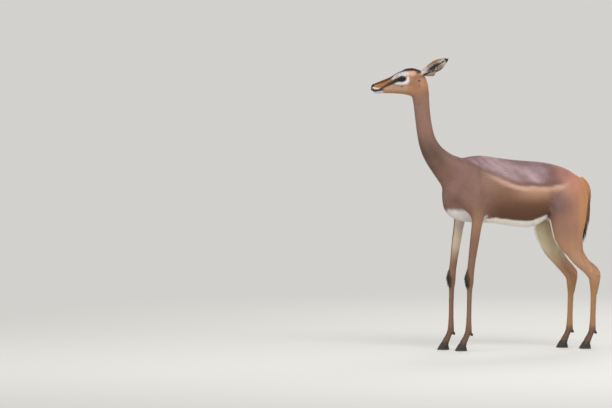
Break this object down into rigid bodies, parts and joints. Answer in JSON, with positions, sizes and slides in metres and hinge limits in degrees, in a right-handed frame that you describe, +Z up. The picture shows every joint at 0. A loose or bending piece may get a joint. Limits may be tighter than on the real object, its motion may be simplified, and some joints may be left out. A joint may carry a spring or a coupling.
{
  "type": "gerenuk",
  "caption": "Life-size hornless female gerenuk standing on four cloven feet, long slender neck upright and head turned slightly.",
  "frame": {"origin": "on the floor, at the middle of the bounding box seen from above", "axes": "+Z up; the animal faces -X; its left side is at -Y"},
  "size_m": [1.086, 0.2522, 1.3643],
  "materials": {
    "coat_torso": "short matt coat",
    "coat_neck": "short matt coat",
    "coat_head": "short matt coat",
    "coat_ear": "short matt coat",
    "coat_tail": "long dark hair at the tip",
    "coat_foreleg": "short matt coat",
    "coat_hindleg": "short matt coat",
    "horn": "worn black horn",
    "eyeball": "wet and glossy"
  },
  "bodies": {
    "root": {"ear_left": "coat_ear", "ear_right": "coat_ear", "eye_left": "eyeball", "eye_right": "eyeball", "foreleg_left_lower": "coat_foreleg", "foreleg_left_upper": "coat_foreleg", "foreleg_right_lower": "coat_foreleg", "foreleg_right_upper": "coat_foreleg", "head": "coat_head", "hindleg_left_lower": "coat_hindleg", "hindleg_left_upper": "coat_hindleg", "hindleg_right_lower": "coat_hindleg", "hindleg_right_upper": "coat_hindleg", "hoof_fore_left_inner": "horn", "hoof_fore_left_outer": "horn", "hoof_fore_right_inner": "horn", "hoof_fore_right_outer": "horn", "hoof_hind_left_inner": "horn", "hoof_hind_left_outer": "horn", "hoof_hind_right_inner": "horn", "hoof_hind_right_outer": "horn", "neck": "coat_neck", "tail": "coat_tail", "torso": "coat_torso"}
  },
  "joints": []
}
